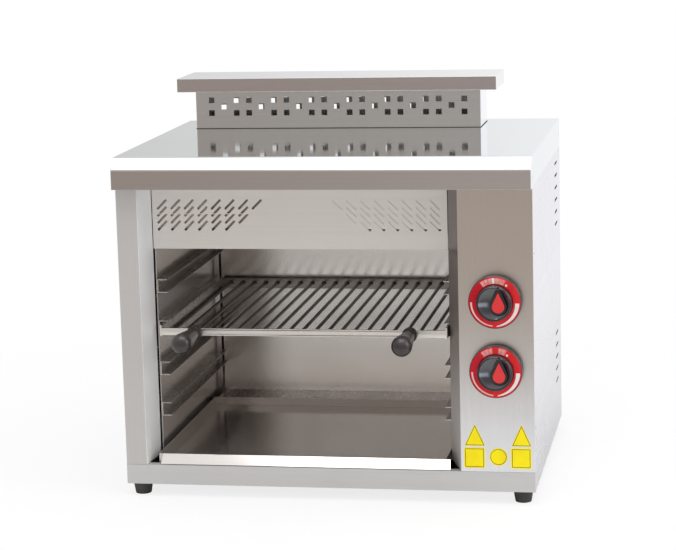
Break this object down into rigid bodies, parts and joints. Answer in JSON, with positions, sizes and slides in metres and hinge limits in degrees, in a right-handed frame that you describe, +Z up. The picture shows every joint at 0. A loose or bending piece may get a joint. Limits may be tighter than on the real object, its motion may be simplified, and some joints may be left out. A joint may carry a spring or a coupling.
{
  "type": "gas cheese melter",
  "caption": "Countertop gas cheese melter: open-fronted steel cabinet, pull-out rack on guides, drip tray, perforated flue and push-and-turn taps.",
  "frame": {"origin": "centre of the bounding box at the height of the table top, under the feet", "axes": "+Z up, +X to the right seen from the open front, which faces -Y"},
  "size_m": [0.6, 0.538, 0.581],
  "materials": {
    "satin_steel": "satin",
    "polished_steel": "polished",
    "satin_steel_inner": "satin",
    "bright_steel": "bright",
    "black_plastic": "semi-gloss",
    "red_enamel": "gloss",
    "red_plastic": "gloss",
    "rubber": "matte",
    "brass": "machined",
    "aluminium_tube": "drawn",
    "zinc_steel": "zinc plated",
    "ceramic": "matte"
  },
  "bodies": {
    "cabinet": {"back_panel": "satin_steel", "base_pan": "satin_steel", "burner_box_front": "satin_steel_inner", "burner_box_rear": "satin_steel_inner", "cavity_back_wall": "satin_steel_inner", "cavity_left_wall": "satin_steel_inner", "cavity_right_wall": "satin_steel_inner", "ceiling_plate": "satin_steel_inner", "chimney_body": "satin_steel", "chimney_roof": "polished_steel", "control_cheek": "satin_steel", "control_panel": "satin_steel", "fascia": "satin_steel", "feed_pipe_front": "aluminium_tube", "feed_pipe_rear": "aluminium_tube", "flue_duct": "satin_steel_inner", "foot_back_left": "rubber", "foot_back_right": "rubber", "foot_front_left": "rubber", "foot_front_right": "rubber", "gas_inlet": "brass", "gas_manifold": "zinc_steel", "guide_left_1": "satin_steel_inner", "guide_left_2": "satin_steel_inner", "guide_left_3": "satin_steel_inner", "guide_left_4": "satin_steel_inner", "guide_right_1": "satin_steel_inner", "guide_right_2": "satin_steel_inner", "guide_right_3": "satin_steel_inner", "guide_right_4": "satin_steel_inner", "left_front_post": "satin_steel", "left_side_panel": "satin_steel", "plaques_front": "ceramic", "plaques_rear": "ceramic", "right_side_panel": "satin_steel", "top_cover": "polished_steel", "tray_ledge_left": "satin_steel_inner", "tray_ledge_right": "satin_steel_inner", "valve_lower": "brass", "valve_upper": "brass", "venturi_front": "satin_steel_inner", "venturi_rear": "satin_steel_inner"},
    "rack": {"rack_frame": "bright_steel", "rack_grid": "bright_steel", "handle_left": "black_plastic", "handle_right": "black_plastic", "handle_stud_left": "bright_steel", "handle_stud_right": "bright_steel"},
    "tray": {"drip_tray": "satin_steel"},
    "tap_upper_push": {"push_collar_upper": "brass"},
    "tap_upper": {"spindle_upper": "bright_steel", "knob_upper": "black_plastic", "dial_ring_upper": "red_enamel", "pointer_upper": "red_plastic"},
    "tap_lower_push": {"push_collar_lower": "brass"},
    "tap_lower": {"spindle_lower": "bright_steel", "knob_lower": "black_plastic", "dial_ring_lower": "red_enamel", "pointer_lower": "red_plastic"}
  },
  "joints": [
    {"name": "rack_slide", "type": "slide", "parent": "cabinet", "child": "rack", "axis": [0, -1, 0], "range_m": [0, 0.3]},
    {"name": "tray_slide", "type": "slide", "parent": "cabinet", "child": "tray", "axis": [0, -1, 0], "range_m": [0, 0.27]},
    {"name": "tap_upper_push", "type": "slide", "parent": "cabinet", "child": "tap_upper_push", "axis": [0, 1, 0], "range_m": [0, 0.0032], "stiffness_N_per_m": 1500},
    {"name": "tap_upper_turn", "type": "hinge", "parent": "tap_upper_push", "child": "tap_upper", "pos_m": [0.247, -0.217, 0.296], "axis": [0, -1, 0], "range_deg": [0, 210]},
    {"name": "tap_lower_push", "type": "slide", "parent": "cabinet", "child": "tap_lower_push", "axis": [0, 1, 0], "range_m": [0, 0.0032], "stiffness_N_per_m": 1500},
    {"name": "tap_lower_turn", "type": "hinge", "parent": "tap_lower_push", "child": "tap_lower", "pos_m": [0.247, -0.217, 0.196], "axis": [0, -1, 0], "range_deg": [0, 210]}
  ]
}
